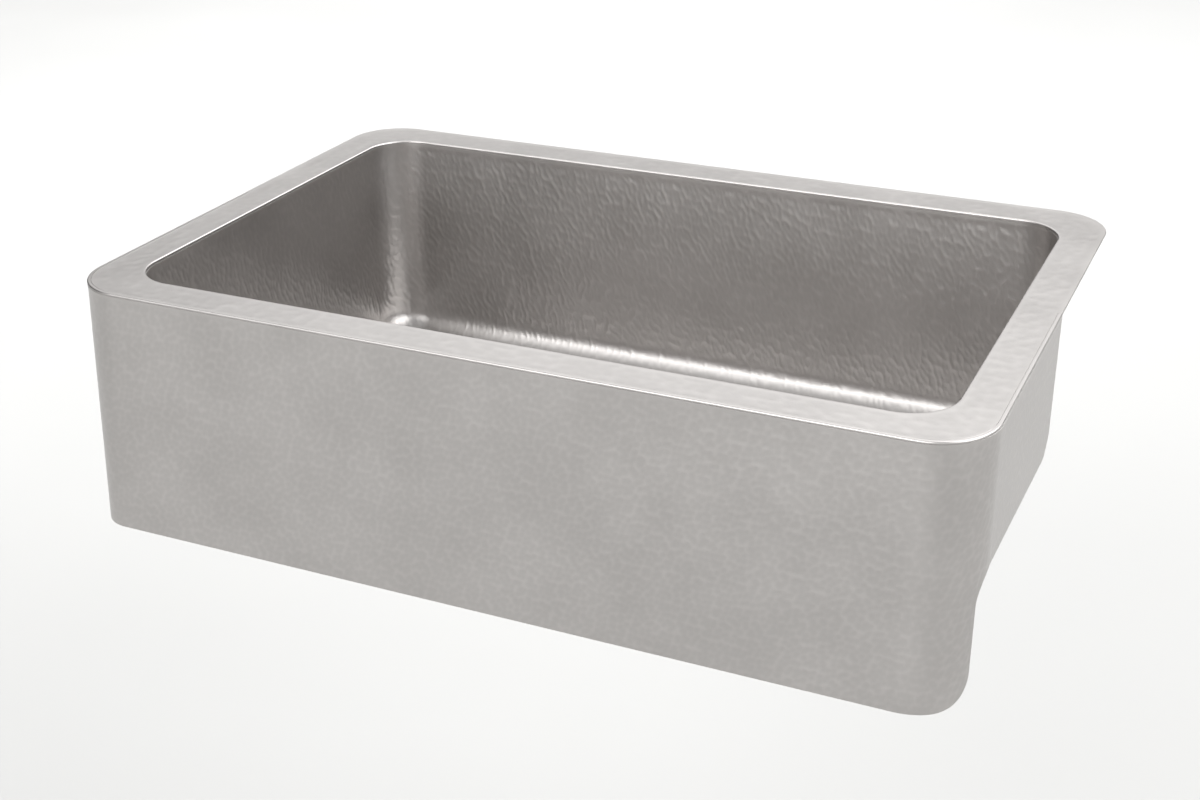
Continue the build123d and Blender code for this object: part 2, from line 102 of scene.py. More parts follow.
def hammerMarks(u, v, wide, tall, seed, around=None):
    # one blow somewhere in each cell of a net; a blow's hollow is its distance squared, in cells, and the
    # least of the nine nearest is taken softly, -log(sum of exp(-k d^2)) / k with the sharpness as k, which
    # rounds the ridges. 1 is the bottom of a hollow and 0 a high ridge. around is the length after which
    # the net repeats.
    cells, jitter, sharpness = netValues["cells"], netValues["jitter"], netValues["sharpness"]
    count = cells if around is None else round(around / wide)
    wide = wide if around is None else around / count
    blows = np.random.default_rng(seed).random((2, count, cells)) * jitter + (1 - jitter) / 2
    u, v = u / wide, v / tall
    iu, iv = np.floor(u).astype(int), np.floor(v).astype(int)
    total = np.zeros(np.broadcast(u, v).shape)
    for stepU in (-1, 0, 1):
        for stepV in (-1, 0, 1):
            blow = blows[:, (iu + stepU) % count, (iv + stepV) % cells]
            squared = (u - iu - stepU - blow[0]) ** 2 + (v - iv - stepV - blow[1]) ** 2
            total += np.exp(-sharpness * squared)
    return 1 - np.clip(-np.log(total) / sharpness / netValues["ridge"], 0, 1)


def roundLoop(counts, cornerSteps):
    # once round a rounded rectangle, anticlockwise from its right side: how far along the sides of the
    # rectangle of corner centres each column is (-1 to 1), and the direction that it faces
    right, back, left, front = (np.linspace(-1, 1, n + 1)[:-1] for n in counts)
    turn = np.linspace(0, np.pi / 2, cornerSteps + 1)[:-1]
    full = np.ones_like
    alongX = np.concatenate([full(right), full(turn), -back, -full(turn),
                             -full(left), -full(turn), front, full(turn)])
    alongY = np.concatenate([right, full(turn), full(back), full(turn),
                             -left, -full(turn), -full(front), -full(turn)])
    facing = np.concatenate([0 * right, turn, 0 * back + np.pi / 2, turn + np.pi / 2,
                             0 * left + np.pi, turn + np.pi, 0 * front + 1.5 * np.pi, turn + 1.5 * np.pi])
    return alongX[:, None], alongY[:, None], facing[:, None]


def loopPoints(loop, length, width, corner, inset, middleY=0):
    # corner centre plus (corner - inset) along the facing direction; corner centres stay where they are
    alongX, alongY, facing = loop
    x = alongX * (length / 2 - corner) + (corner - inset) * np.cos(facing)
    y = middleY + alongY * (width / 2 - corner) + (corner - inset) * np.sin(facing)
    return x, y


def arc(count, start, end):
    # angles in degrees from start to end, ends included, in radians
    return np.radians(np.linspace(start, end, count))


def joinStretches(stretches):
    # a section's rows, given as stretches that hold a list or one lasting number for each quantity;
    # gives one array for each quantity
    even = [np.broadcast_arrays(*(np.atleast_1d(part) for part in stretch)) for stretch in stretches]
    return [np.concatenate(parts) for parts in zip(*even)]


def grooveRows(below, s):
    # four rows of the fine groove, from the top down: their depths, and how far each is sunk into the sheet.
    # below is the distance from the fold's end to the groove's flat bottom.
    slope, tall = s["grooveSlope"], s["grooveTall"]
    depths = s["fold"] + below + np.array([-slope, 0, tall, tall + slope])
    return depths, s["grooveDeep"] * np.array([0, 1, 1, 0])


def shellObject(name, points, hollow, closedU=True, sharpFrom=40):
    # a closed skin: points[i, j] joined in fours, j always going round; open ends get one flat face each.
    # Edges that turn by more than sharpFrom degrees stay crisp. hollow[i, j], 0 on a ridge to 1 in a hammer
    # mark's middle, is kept for the finish, which paints shading by it; rows of points past its last one have
    # none.
    countU, countV = points.shape[:2]
    index = np.arange(countU * countV).reshape(countU, countV)
    here = index if closedU else index[:-1]
    there = np.roll(index, -1, axis=0) if closedU else index[1:]
    ring = [here, there, np.roll(there, -1, axis=1), np.roll(here, -1, axis=1)]
    fours = np.stack(ring, axis=-1).reshape(-1, 4)
    endFaces = [] if closedU else [index[0].tolist(), index[-1, ::-1].tolist()]
    flat = points.reshape(-1, 3)
    mesh = bpy.data.meshes.new(name)
    mesh.from_pydata(flat.tolist(), [], fours.tolist() + endFaces)
    corners = flat[fours]
    turned = np.cross(corners[:, 2] - corners[:, 0], corners[:, 3] - corners[:, 1])
    if (corners.mean(axis=1) * turned).sum() < 0:  # a skin with its faces inwards has a negative volume
        mesh.flip_normals()
    mesh.shade_smooth()
    mesh.set_sharp_from_angle(angle=np.radians(sharpFrom))
    kept = np.zeros((countU, countV), np.float32)
    kept[:, :hollow.shape[1]] = hollow
    mesh.attributes.new("hollow", "FLOAT", "POINT").data.foreach_set("value", kept.reshape(-1))
    shell = bpy.data.objects.new(name, mesh)
    bpy.context.scene.collection.objects.link(shell)
    print(name, len(fours) * 2, "triangles")
    return shell


def cutShells(names, points, hollow, ends):
    # one mesh for each stretch of columns between two of the ends, to keep each mesh light; neighbours
    # share the points of the cut
    shells = []
    for name, start, end in zip(names, ends, ends[1:]):
        columns = np.arange(start, end + 1) % len(points)
        shells.append(shellObject(name, points[columns], hollow[columns], closedU=False))
    return shells


# Rim: a deck between the bowl's opening and the outer edge, turned down into the bowl
rimValues = {
    "sideColumns": 130, "endColumns": 230, "cornerColumns": 26,
    "deckRows": 17, "deckTo": 0.905,          # the rows are even up to this share of the way out
    "underShares": (1, 0.6, 0.2),             # places of the underside's rows, as shares of the way out
    "foldRows": 9, "insideFoldRows": 5,
    "edgeRound": 0.0004,
    "stepGap": 0.0001,           # from the apron strip's end to the columns beside it, in half side lengths
    "grooveBelow": 0.0012,
    "markWide": 0.0085, "markTall": 0.0085, "markDepth": 0.00012,
    "markFull": 0.12, "markFades": 0.82, "markGone": 0.90,   # shares of the way out
    "waves": 0.00005, "waveCell": 0.06,
    "netShift": 2, "seed": 11,   # metres that the net is moved
}


def makeRim(v, s):
    # each column runs straight from the opening's edge to the rim's outer edge; its section goes up the
    # lip, over the fold (a quarter circle), across the deck, round the outer edge and back underneath
    counts = (v["sideColumns"], v["endColumns"], v["sideColumns"], v["endColumns"])
    loop = roundLoop(counts, v["cornerColumns"])
    alongY = loop[1]
    # the apron's strip ends in a step, so the two columns beside it move up to it
    stepAt = (frontY + apronValues["returnLength"] - s["middleY"]) / (s["width"] / 2 - s["corner"])
    spacing = 2 / v["sideColumns"]
    beside = abs(alongY - stepAt) < spacing
    alongY[beside] = stepAt + v["stepGap"] * np.sign(alongY[beside] - stepAt)
    strip = s["apronStrip"] * (alongY < stepAt)
    fold, inner, sheet, soft = s["fold"], s["insideFold"], s["sheet"], v["edgeRound"]
    grooveDepths, groove = grooveRows(v["grooveBelow"], s)
    turn, turnBack = arc(v["foldRows"], 180, 90), arc(v["insideFoldRows"], 90, 180)
    across = np.append(np.linspace(0, v["deckTo"], v["deckRows"])[1:], 1)
    marked = smoothStep(across, 0, v["markFull"]) * (1 - smoothStep(across, v["markFades"], v["markGone"]))
    # out from the opening, share of the way to the outer edge, in from that edge, height, share of the marks
    fromOpening, share, pulledIn, z, onDeck = joinStretches([
        (0, 0, 0, -s["lip"], 0),
        (groove[::-1], 0, 0, -grooveDepths[::-1], 0),
        (fold * (1 + np.cos(turn)), 0, 0, fold * (np.sin(turn) - 1), 0),
        (fold, across, soft * (across == 1), 0, marked),
        (fold, 1, 0, [-soft, soft - sheet], 0),
        (fold, v["underShares"], soft * (np.array(v["underShares"]) == 1), -sheet, 0),
        (sheet + inner * (1 + np.cos(turnBack)), 0, 0, inner * (np.sin(turnBack) - 1) - sheet, 0),
        (sheet, 0, 0, -s["lip"], 0),
    ])
    startX, startY = loopPoints(loop, s["openingLength"], s["openingWidth"], s["openingCorner"], -fromOpening)
    outerInset = strip * (share == 1) + pulledIn
    endX, endY = loopPoints(loop, s["length"], s["width"], s["corner"], outerInset, s["middleY"])
    x = startX + (endX - startX) * share
    y = startY + (endY - startY) * share
    netX, netY = x + v["netShift"], y + v["netShift"]
    marks = hammerMarks(netX, netY, v["markWide"], v["markTall"], v["seed"])
    dent = marks * v["markDepth"] + softWaves(netX, netY, v["waveCell"], v["seed"] + 1) * v["waves"]
    return shellObject("rimDeck", np.stack([x, y, z - dent * onDeck], axis=-1), marks * onDeck)


# Apron: the sheet folds down from the rim, turns both front corners and runs back along the sides
apronValues = {
    "height": 0.2413,
    "returnLength": 0.288,       # front face to the return's back edge
    "returnBack": 0.1335, "returnFront": 0.124, "returnCorner": 0.024,    # depths at its ends, and radius
    "wrap": 0.035, "wrapHollow": 0.0275, "wrapCorner": 0.030,     # how far back it reaches, and radii
    "cornerTop": 0.0545,         # radius of both front corners at the top
    "footLeft": 0.034, "footRight": 0.0545,   # the left corner is beaten tighter towards its foot
    "cornerFrom": 0.012,         # depth at which the corners begin to change
    "step": 0.00128,             # width of a column and height of a row
    "bendColumns": 11,           # between the front's end and the wrap's rounded end
    "topPlaces": (0.022, 0.042, 0.060),       # how far back the wrap's columns reach the top
    "firstRow": 0.0125,          # share of the way down at which the even rows start
    "foldRows": 8, "insideFoldRows": 4, "backRows": 15,
    "grooveBelow": 0.0004,
    "markWide": 0.0050, "markTall": 0.0056, "markDepth": 0.00013,
    "markFrom": 0.003, "markFull": 0.008,     # depths
    "slant": 0.35,               # sideways lean of the marks, per metre down
    "shallowest": 0.8, "clouds": 0.4, "cloudCell": 0.045,   # the marks' depth drifts in clouds
    "waves": 0.00003, "waveCell": 0.09,
    "netShift": 2, "netShiftDown": 0.3, "seed": 21,         # metres that the net is moved
}


def filletLine(points, radii, arcPoints=24):
    # a line through the points with an arc in each corner: it starts radius * tan(half the turn) before
    # the corner. Gives the line's points, the length along it of each, and that of each arc's ends.
    points = np.array(points, float)
    parts, ends = [points[:1]], []
    for here, corner, there, radius in zip(points, points[1:], points[2:], radii):
        goIn, goOut = corner - here, there - corner
        goIn, goOut = goIn / np.hypot(*goIn), goOut / np.hypot(*goOut)
        turn = np.arctan2(goIn[0] * goOut[1] - goIn[1] * goOut[0], goIn @ goOut)
        reach = radius * np.tan(abs(turn) / 2)
        side = np.sign(turn) * np.array([-goIn[1], goIn[0]])
        centre = corner - goIn * reach + side * radius
        angles = np.linspace(0, abs(turn), arcPoints)[:, None]
        bend = centre - side * radius * np.cos(angles) + goIn * radius * np.sin(angles)
        parts.append(bend)
        ends += [bend[0], bend[-1]]
    line = np.concatenate([*parts, points[-1:]])
    along = np.concatenate([[0], np.cumsum(np.hypot(*np.diff(line, axis=0).T))])
    knots = [along[np.argmin(((line - end) ** 2).sum(axis=1))] for end in ends]
    return line, along, knots


def cornerRadius(depth, sign, v):
    # runs evenly from its top value to its foot value
    foot = v["footRight"] if sign > 0 else v["footLeft"]
    share = np.clip((depth - v["cornerFrom"]) / (v["height"] - v["cornerFrom"]), 0, 1)
    return v["cornerTop"] + (foot - v["cornerTop"]) * share


def apronSkin(q, depth, inset, sign, v, s):
    # q is 0 at the middle of the front, 1 where the corner begins, 2 where it ends, 3 at the return's back
    # edge: x and y there, and the length around from the middle
    radius = cornerRadius(depth, sign, v)
    turn = np.clip(q - 1, 0, 1) * np.pi / 2
    centreX = (s["length"] / 2 - radius) * np.clip(q, 0, 1)
    centreY = radius + np.clip(q - 2, 0, 1) * (v["returnLength"] - radius)
    x = sign * (centreX + (radius - inset) * np.sin(turn))
    y = frontY + centreY - (radius - inset) * np.cos(turn)
    around = sign * (centreX + radius * turn + centreY - radius)
    return x, y, around


def skinPlace(back, radius, v):
    # q at a distance back from the front: on the corner the angle is arccos(1 - back / radius), and behind
    # it q runs evenly to the return's back edge
    onCorner = 1 + np.arccos(np.clip(1 - back / radius, -1, 1)) / (np.pi / 2)
    return np.where(back < radius, onCorner, 2 + (back - radius) / (v["returnLength"] - radius))


def apronColumns(v, s):
    # for each column past the front: q at its top, and how far back and how deep its lower end is, on the
    # wrap's rounded end and the return's lower edge
    length = v["returnLength"]
    edge, along, knots = filletLine(
        [(0, v["height"]), (v["wrap"], v["height"]), (v["wrap"], v["returnFront"]),
         (length, v["returnBack"]), (length, 0)],
        [v["wrapCorner"], v["wrapHollow"], v["returnCorner"]])
    arcStart = [edge[np.searchsorted(along, knot)][0] for knot in knots[::2]]
    topBack = np.array([arcStart[0], *v["topPlaces"], arcStart[2], length])
    stretches = [np.linspace(a, b, round((b - a) / v["step"]) + 1)[:-1] for a, b in zip(knots, knots[1:])]
    lowerAlong = np.concatenate([*stretches, knots[-1:]])
    topQ = np.interp(lowerAlong, knots, skinPlace(topBack, v["cornerTop"], v))
    return topQ, np.interp(lowerAlong, along, edge[:, 0]), np.interp(lowerAlong, along, edge[:, 1])


def makeApron(v, s):
    # columns run from the top fold to the sheet's lower edge, which is the foot in front, then the wrap's
    # rounded end and the return's lower edge; rows share out each column evenly, down the front of the
    # sheet and up its back
    fold, inner, sheet = s["fold"], s["insideFold"], s["sheet"]
    topQ, lowerBack, lowerDepth = apronColumns(v, s)
    front = np.linspace(0, 1, round((s["length"] / 2 - v["cornerTop"]) / v["step"]) + 1)[:-1]
    bendTo = v["bendColumns"] + 1
    low = np.append(np.full(len(front) + v["bendColumns"], v["height"]), lowerDepth)[:, None]
    grooveDepths, groove = grooveRows(v["grooveBelow"], s)
    turn, turnBack = arc(v["foldRows"], 90, 180), arc(v["insideFoldRows"], 180, 90)
    rows = np.linspace(v["firstRow"], 1, round(v["height"] / v["step"]))
    backRows = np.linspace(1, 0, v["backRows"] + 1)[:-1]
    # in from the skin, share of the way to the lower edge, depth where that share is 0, 1 where hammered
    inset, share, startDepth, hammered = joinStretches([
        (s["apronStrip"], 0, 0, 0),
        (fold * (1 + np.cos(turn)), 0, fold * (1 - np.sin(turn)), 0),
        (groove, 0, grooveDepths, 0),
        (0, rows, fold, 1),
        (sheet, backRows, fold, 0),
        (sheet + inner * (1 + np.cos(turnBack)), 0, sheet + inner * (1 - np.sin(turnBack)), 0),
        (s["apronStrip"], 0, sheet, 0),
    ])
    depth = startDepth + (low - fold) * share
    marked = hammered * smoothStep(depth, v["markFrom"], v["markFull"])
    halves = []
    for sign in (-1, 1):
        footQ = skinPlace(lowerBack, cornerRadius(lowerDepth, sign, v), v)
        q0, q1 = (np.concatenate([front, np.linspace(1, wrapQ[0], bendTo)[:-1], wrapQ])[:, None]
                  for wrapQ in (topQ, footQ))
        q = q0 + (q1 - q0) * share
        around = apronSkin(q, depth, inset, sign, v, s)[2] + v["netShift"]
        marks = hammerMarks(around + v["slant"] * depth, depth + v["netShiftDown"],
                            v["markWide"], v["markTall"], v["seed"])
        amount = v["shallowest"] + v["clouds"] * softWaves(around, depth, v["cloudCell"], v["seed"] + 1)
        waves = softWaves(around, depth, v["waveCell"], v["seed"] + 2) * v["waves"]
        dent = (marks * amount * v["markDepth"] + waves) * marked
        x, y = apronSkin(q, depth, inset + dent, sign, v, s)[:2]
        halves.append(np.stack([x, y, -depth, marks * marked], axis=-1))
    points = np.concatenate([halves[0][::-1], halves[1][1:]])
    middle, corner = len(halves[0]) - 1, len(halves[0]) - len(front)
    return cutShells(("apronLeft", "apronFrontLeft", "apronFrontRight", "apronRight"),
                     points[..., :3], points[..., 3], (0, corner, middle, 2 * middle - corner, 2 * middle))


# Bowl: four walls with rounded upright corners and a cove, and a floor that falls to the waste
bowlValues = {
    "depth": 0.2286, "cove": 0.025,
    "strip": 0.008, "stripShares": (0.3, 0.6, 0.8, 1),      # level strip past the cove, and its rows
    "fall": 0.006,
    "levelSquare": 0.06395,      # half the side of the level square round the waste
    "valleySoft": 0.04, "squareSoft": 0.02, "stripSoft": 0.01,   # rounding of the slopes' creases
    "recess": 0.05795, "recessDepth": 0.0034,               # radius and depth
    "recessRoll": 0.002, "recessFoot": 0.0005,              # its rounded upper edge and its bevelled foot
    "hole": 0.0445,              # radius
    "sideColumns": 330, "backColumns": 720, "frontColumns": 420, "cornerColumns": 52,
    "wallRows": 140, "coveRows": 19, "rollRows": 7,
    "outsideStep": 16, "outsideCoveStep": 3,  # the outside keeps one row in so many
    "markWide": 0.0046, "markTall": 0.0085, "markDepth": 0.00032,
    "slant": 0.35,               # sideways lean of the wall's marks, per metre down
    "wander": 0.006, "wanderCell": 0.02,      # how far they stray sideways
    "shallowest": 0.55, "clouds": 0.3, "cloudCell": 0.05,   # their depth drifts in clouds
    "deepens": 3.5,              # what each metre down adds to their depth, as a share of markDepth
    "coveLess": 0.45, "coveBlend": 0.01,      # they are shallower in the cove
    "markFrom": 0.0065, "markFull": 0.011,    # distances down the section
    "markFades": 0.006, "markGone": 0.001,    # distances from its end
    "waves": 0.00010, "waveCell": 0.075,
    "seed": 31,
}
floorValues = {
    "sideColumns": 90, "endColumns": 170, "cornerColumns": 8, "rows": 76,
    "underStep": 5,              # the underside keeps one row in so many
    "mark": 0.014, "markDepth": 0.00030,
    "markFull": 0.04, "markFades": 0.93,      # shares of the way to the waste
    "waves": 0.00005, "waveCell": 0.06,
    "netShift": 1, "seed": 41,   # metres that the net is moved
}


def floorHeight(x, y, v, s):
    # four flat slopes: the share of the way down is the lesser of the shares along x and y, kept from 0 to 1
    edge = v["cove"] + v["strip"]
    runX = s["openingLength"] / 2 - edge - v["levelSquare"]
    runY = s["openingWidth"] / 2 - edge - v["levelSquare"]
    share = softLesser((s["openingLength"] / 2 - edge - abs(x)) / runX,
                       (s["openingWidth"] / 2 - edge - abs(y)) / runY, v["valleySoft"])
    share = -softLesser(-softLesser(share, 1, v["squareSoft"]), 0, v["stripSoft"])
    return -v["depth"] - v["fall"] * share


def makeBowlWalls(v, s):
    # a section carried round the opening: down the wall, round the cove, and back up outside the sheet;
    # each point moves out from the bowl by the depth of its hammer mark
    counts = (v["sideColumns"], v["backColumns"], v["sideColumns"], v["frontColumns"])
    loop = roundLoop(counts, v["cornerColumns"])
    shape = (s["openingLength"], s["openingWidth"], s["openingCorner"])
    coveZ, sheet = v["cove"] - v["depth"], s["sheet"]
    down = np.linspace(-s["lip"], coveZ, v["wallRows"])[:-1]
    turn = arc(v["coveRows"], 0, 90)
    flat = np.array(v["stripShares"]) * v["strip"]
    # in from the opening, height, the same two outside the sheet, length down the section, and the lean of
    # the skin's normal, from level at the wall to straight down
    inset, z, outInset, outZ, run, lean = joinStretches([
        (0, down, -sheet, down, -down, 0),
        (v["cove"] * (1 - np.cos(turn)), coveZ - v["cove"] * np.sin(turn),
         v["cove"] - (v["cove"] + sheet) * np.cos(turn), coveZ - (v["cove"] + sheet) * np.sin(turn),
         -coveZ + v["cove"] * turn, turn),
        (v["cove"] + flat, -v["depth"], v["cove"] + flat, -v["depth"] - sheet,
         -coveZ + v["cove"] * np.pi / 2 + flat, np.pi / 2),
    ])
    shown = len(run)
    keep = np.unique([*range(0, len(down), v["outsideStep"]),
                      *range(len(down), shown, v["outsideCoveStep"]), shown - 1])[::-1]
    inset, z = np.append(inset, outInset[keep])[None], np.append(z, outZ[keep])[None]
    x, y = loopPoints(loop, *shape, inset)
    around = np.concatenate([[0], np.cumsum(np.hypot(np.diff(x[:, 0]), np.diff(y[:, 0])))])[:, None]
    total = around[-1, 0] + np.hypot(x[0, 0] - x[-1, 0], y[0, 0] - y[-1, 0])
    stray = softWaves(around, run, v["wanderCell"], v["seed"], total)
    cloud = softWaves(around, run, v["cloudCell"], v["seed"] + 1, total)
    swell = softWaves(around, run, v["waveCell"], v["seed"] + 2, total)
    marks = hammerMarks(around + v["wander"] * stray + v["slant"] * run, run,
                        v["markWide"], v["markTall"], v["seed"] + 3, total)
    inCove = smoothStep(run, -coveZ - v["coveBlend"], -coveZ + v["coveBlend"])
    amount = (v["shallowest"] + v["clouds"] * cloud + v["deepens"] * run) * (1 - v["coveLess"] * inCove)
    faded = smoothStep(run, run.max() - v["markFades"], run.max() - v["markGone"])
    marked = smoothStep(run, v["markFrom"], v["markFull"]) * (1 - faded)
    dent = (marks * amount * v["markDepth"] + swell * v["waves"]) * marked
    inset, z = np.repeat(inset, len(x), axis=0), np.repeat(z, len(x), axis=0)
    inset[:, :shown] -= dent * np.cos(lean)
    z[:, :shown] -= dent * np.sin(lean)
    x, y = loopPoints(loop, *shape, inset)
    z = z + (floorHeight(x, y, v, s) + v["depth"]) * (inset > v["cove"])
    # cut up the middle of each upright corner and of the back wall
    corner, halfBack = v["cornerColumns"], (v["backColumns"] + v["cornerColumns"]) // 2
    ends = np.cumsum([-corner // 2, v["sideColumns"] + corner, halfBack, halfBack,
                      v["sideColumns"] + corner, v["frontColumns"] + corner])
    return cutShells(("bowlRight", "bowlBackRight", "bowlBackLeft", "bowlLeft", "bowlFront"),
                     np.stack([x, y, z], axis=-1), marks, ends)


def makeBowlFloor(v, bowl, s):
    # columns run straight from the cove's foot to a circle round the waste; the section then rolls down
    # into the recess, crosses it to the waste hole and comes back underneath
    counts = (v["sideColumns"], v["endColumns"], v["sideColumns"], v["endColumns"])
    loop = roundLoop(counts, v["cornerColumns"])
    edge, sheet, roll, recess = bowl["cove"] + bowl["strip"], s["sheet"], bowl["recessRoll"], bowl["recess"]
    startX, startY = loopPoints(loop, s["openingLength"], s["openingWidth"], s["openingCorner"], edge)
    squeeze = (s["openingWidth"] - 2 * edge) / (s["openingLength"] - 2 * edge)
    facing = np.arctan2(startY, startX * squeeze)
    share = np.linspace(0, 1, v["rows"])[None]
    x = startX + ((recess + roll) * np.cos(facing) - startX) * share
    y = startY + ((recess + roll) * np.sin(facing) - startY) * share
    z = floorHeight(x, y, bowl, s)
    netX, netY = x + v["netShift"], y + v["netShift"]
    marks = hammerMarks(netX, netY, v["mark"], v["mark"], v["seed"])
    dent = marks * v["markDepth"] + softWaves(netX, netY, v["waveCell"], v["seed"] + 1) * v["waves"]
    marked = smoothStep(share, 0, v["markFull"]) * (1 - smoothStep(share, v["markFades"], 1))
    low = -bowl["depth"] - bowl["fall"]
    foot = low - bowl["recessDepth"]
    turn = arc(bowl["rollRows"], 90, 180)[1:]
    ringRadius, ringZ = joinStretches([
        (recess + roll * (1 + np.cos(turn)), low + roll * (np.sin(turn) - 1)),
        (recess, foot + bowl["recessFoot"]),
        (recess - bowl["recessFoot"], foot),
        (bowl["hole"], [foot, foot - sheet]),
        (recess + sheet, [foot - sheet, low - sheet]),
    ])
    under = slice(-1 - v["underStep"], None, -v["underStep"])
    points = np.stack([
        np.concatenate([x, ringRadius * np.cos(facing), x[:, under]], axis=1),
        np.concatenate([y, ringRadius * np.sin(facing), y[:, under]], axis=1),
        np.concatenate([z - dent * marked, ringZ + 0 * facing, z[:, under] - sheet], axis=1)], axis=-1)
    return shellObject("bowlFloor", points, marks * marked)


rimDeck = makeRim(rimValues, sinkValues)
apronSheets = makeApron(apronValues, sinkValues)
bowlWalls = makeBowlWalls(bowlValues, sinkValues)
bowlFloor = makeBowlFloor(floorValues, bowlValues, sinkValues)
for node, pieces in {"rim": [rimDeck], "apron": apronSheets, "bowl": [*bowlWalls, bowlFloor]}.items():
    for piece in pieces:
        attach(piece, "sink")
        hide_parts(node)
print("sheet steel made")


def toLinear(hexColour):
    # sRGB to linear light: c / 12.92 up to 0.04045, above it ((c + 0.055) / 1.055) ^ 2.4
    c = np.array([int(hexColour[i:i + 2], 16) for i in (1, 3, 5)]) / 255
    return (*np.where(c <= 0.04045, c / 12.92, ((c + 0.055) / 1.055) ** 2.4).tolist(), 1.0)


def addNode(tree, kind, links=None, **settings):
    # one node: properties and socket values from settings, links as {socket: output}
    node = tree.nodes.new(kind)
    for name, value in settings.items():
        if hasattr(node, name):
            setattr(node, name, value)
        else:
            node.inputs[name.replace("_", " ")].default_value = value
    for name, output in (links or {}).items():
        tree.links.new(output, node.inputs[name])
    return node


def newFinish(name, v, cloudFrom=0.35, cloudTo=0.65):
    # a material whose colour and gloss drift together in clouds of v["cloud"] metres, from the first hex
    # colour and roughness, where the noise is cloudFrom, to the second; returns it with its shader and the
    # place on the piece
    material = bpy.data.materials.new(name)
    material.use_nodes = True
    tree = material.node_tree
    shader = tree.nodes["Principled BSDF"]
    shader.inputs["Metallic"].default_value = v["metallic"]
    place = addNode(tree, "ShaderNodeTexCoord").outputs["Object"]
    noise = addNode(tree, "ShaderNodeTexNoise", {"Vector": place}, Scale=1 / v["cloud"], Detail=3.0)
    clouds = noise.outputs["Fac"]
    tint = addNode(tree, "ShaderNodeValToRGB", {"Fac": clouds})
    for stop, position, colour in zip(tint.color_ramp.elements, (cloudFrom, cloudTo), v["colours"]):
        stop.position, stop.color = position, toLinear(colour)
    gloss = addNode(tree, "ShaderNodeMapRange", {"Value": clouds}, From_Min=cloudFrom, From_Max=cloudTo,
                    To_Min=v["roughness"][0], To_Max=v["roughness"][1])
    tree.links.new(tint.outputs["Color"], shader.inputs["Base Color"])
    tree.links.new(gloss.outputs["Result"], shader.inputs["Roughness"])
    return material, tree, shader, place


def addRelief(tree, shader, height, depth, strength, under=None):
    # the height, from 0 to 1, stands depth metres high; under is a coarser relief that this one lies on
    bump = addNode(tree, "ShaderNodeBump", {"Height": height}, Strength=strength, Distance=depth)
    if under is not None:
        tree.links.new(under, bump.inputs["Normal"])
    tree.links.new(bump.outputs["Normal"], shader.inputs["Normal"])
    return bump.outputs["Normal"]


# ridge and hollow scale the colour: a painted highlight on the hammer marks' ridges and painted shade in
# their middles
hammeredValues = {"colours": ("#B2AFAD", "#B6B3B1"), "roughness": (0.36, 0.385), "cloud": 0.060,
                  "metallic": 1.0, "ridge": 1.04, "hollow": 0.96,
                  "grain": 0.0006, "grainDepth": 0.00002, "grainStrength": 0.5}


def hammeredStainless(v):
    # 304 stainless sheet, hammered and then matt brushed: soft blurred gloss, faintly warm grey, clouded
    # where the brush bit deeper, with an even grain, drawn at 0.6 mm so that it shows. Each hammer mark has
    # painted shading: its colour is a shade lighter on its ridges and a shade darker in its middle.
    material, tree, shader, place = newFinish("hammeredStainless", v)
    tint = shader.inputs["Base Color"].links[0].from_socket
    # painted shading: the colour runs from ridge times the tint, lighter, on the ridges to hollow times it,
    # darker, in the marks' middles
    hollow = addNode(tree, "ShaderNodeAttribute", attribute_name="hollow").outputs["Fac"]
    shade = addNode(tree, "ShaderNodeMapRange", {"Value": hollow}, To_Min=v["ridge"], To_Max=v["hollow"])
    paintedShading = addNode(tree, "ShaderNodeHueSaturation", {"Color": tint, "Value": shade.outputs["Result"]})
    tree.links.new(paintedShading.outputs["Color"], shader.inputs["Base Color"])
    grain = addNode(tree, "ShaderNodeTexNoise", {"Vector": place}, Scale=1 / v["grain"], Detail=2.0)
    addRelief(tree, shader, grain.outputs["Fac"], v["grainDepth"], v["grainStrength"])
    return material


foldedValues = {"colours": ("#C2C3C3", "#CCCCCB"), "roughness": (0.26, 0.34), "cloud": 0.040,
                "metallic": 1.0,
                "line": (0.0006, 0.0006, 0.020), "lineDepth": 0.00001, "lineStrength": 0.6}


def rolledStainless(v):
    # 304 stainless strip as it leaves the rolls, folded: milky gloss with faint lines the way it was rolled
    material, tree, shader, place = newFinish("rolledStainless", v)
    drawn = addNode(tree, "ShaderNodeMapping", {"Vector": place}, Scale=[1 / size for size in v["line"]])
    lines = addNode(tree, "ShaderNodeTexNoise", {"Vector": drawn.outputs["Vector"]}, Scale=1.0, Detail=2.0)
    addRelief(tree, shader, lines.outputs["Fac"], v["lineDepth"], v["lineStrength"])
    return material


padValues = {"colours": ("#2A2B2D", "#38393B"), "roughness": (0.72, 0.86), "cloud": 0.035,
             "metallic": 0.0,
             "pebble": 0.0022, "pebbleDepth": 0.0003, "pebbleStrength": 0.7, "pebbleRound": 0.4,
             "grit": 0.0005, "gritDepth": 0.000075, "gritStrength": 0.5}


def bitumenPad(v):
    # rolled bitumen and rubber sheet, cut and stuck on: dull, nearly black, with a pebbled skin
    material, tree, shader, place = newFinish("bitumenPad", v)
    pebbles = addNode(tree, "ShaderNodeTexVoronoi", {"Vector": place}, feature="SMOOTH_F1",
                      Scale=1 / v["pebble"], Smoothness=v["pebbleRound"])
    coarse = addRelief(tree, shader, pebbles.outputs["Distance"], v["pebbleDepth"], v["pebbleStrength"])
    grit = addNode(tree, "ShaderNodeTexNoise", {"Vector": place}, Scale=1 / v["grit"], Detail=2.0)
    addRelief(tree, shader, grit.outputs["Fac"], v["gritDepth"], v["gritStrength"], coarse)
    return material


